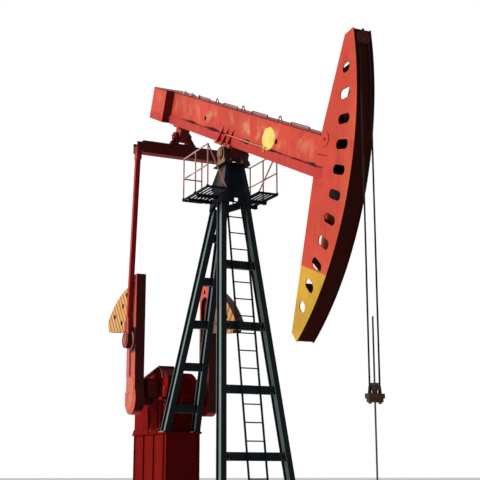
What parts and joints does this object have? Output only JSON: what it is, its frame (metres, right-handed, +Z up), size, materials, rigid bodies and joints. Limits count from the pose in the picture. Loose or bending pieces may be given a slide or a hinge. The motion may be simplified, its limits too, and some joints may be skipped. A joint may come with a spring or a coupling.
{
  "type": "beam pumping unit",
  "caption": "Beam pumping unit on a skid: walking beam with curved horsehead on a braced post, rocked by cranks with counterweights to lift a rod.",
  "frame": {"origin": "on the ground, straight below the beam pivot, at the underside of the skid", "axes": "+X towards the horsehead, +Z up; -Y is the side without the belt drive"},
  "size_m": [10.062, 2.004, 9.4145],
  "materials": {
    "beam_red": "faded",
    "dark_red": "faded",
    "weight_yellow": "striped",
    "post_dark": "worn",
    "rail_pink": "worn",
    "bearing_tan": "dusty",
    "skid_grey": "worn",
    "reducer_red": "oily",
    "black_iron": "dull",
    "motor_blue": "worn",
    "belt_rubber": "dull",
    "bright_steel": "worn",
    "rope_steel": "greased",
    "carrier_brown": "rusty"
  },
  "bodies": {
    "frame": {"skid_base": "skid_grey", "post_front_frame": "post_dark", "post_rear_frame": "post_dark", "post_head": "post_dark", "saddle_bearings": "bearing_tan", "ladder": "post_dark", "near_platform": "post_dark", "far_platform": "post_dark", "near_handrail": "rail_pink", "far_handrail": "rail_pink", "reducer_stool": "reducer_red", "reducer_housing": "reducer_red", "reducer_cover": "reducer_red", "reducer_sheave": "black_iron", "drive_belts": "belt_rubber", "motor_sheave": "black_iron", "motor": "motor_blue", "hanging_ropes": "rope_steel"},
    "walking_beam": {"beam_girder": "beam_red", "beam_tail_box": "beam_red", "beam_gussets": "beam_red", "saddle_shaft": "bright_steel", "tail_bracket": "beam_red", "tail_shaft": "bright_steel", "head_side_plates": "beam_red", "head_face": "dark_red", "head_back": "dark_red", "head_ribs": "dark_red", "rope_saddle": "dark_red", "rope_wrap": "rope_steel", "beam_top_rails": "dark_red"},
    "equalizer": {"equalizer_beam": "dark_red", "tail_bearing": "dark_red", "pitmans": "dark_red", "crank_pin_bearings": "dark_red"},
    "cranks": {"crank_shaft": "bright_steel", "near_crank": "dark_red", "far_crank": "dark_red", "near_counterweight": "weight_yellow", "far_counterweight": "weight_yellow", "crank_pins": "bright_steel"},
    "carrier": {"carrier_bars": "carrier_brown", "rod_clamp": "bright_steel", "polished_rod": "bright_steel", "rope_sockets": "rope_steel"}
  },
  "joints": [
    {"name": "beam_rock", "type": "hinge", "parent": "frame", "child": "walking_beam", "pos_m": [0, 0, 7.07], "axis": [0, -1, 0], "range_deg": [0, 49.9]},
    {"name": "equalizer_hinge", "type": "hinge", "parent": "walking_beam", "child": "equalizer", "pos_m": [-2.46, 0, 8.11], "axis": [0, -1, 0], "range_deg": [-53.1, 0]},
    {"name": "crank_turn", "type": "hinge", "parent": "frame", "child": "cranks", "pos_m": [-2.78, 0, 2.852], "axis": [0, -1, 0], "range_deg": [0, 172.2]},
    {"name": "carrier_slide", "type": "slide", "parent": "frame", "child": "carrier", "axis": [0, 0, 1], "range_m": [0, 3.926], "deforming": ["hanging_ropes"]}
  ],
  "couplings": [
    {"joint": "equalizer_hinge", "follows": "beam_rock", "ratio": -1.0638},
    {"joint": "crank_turn", "follows": "beam_rock", "ratio": 3.4506},
    {"joint": "carrier_slide", "follows": "beam_rock", "m_per_rad": 4.507}
  ]
}
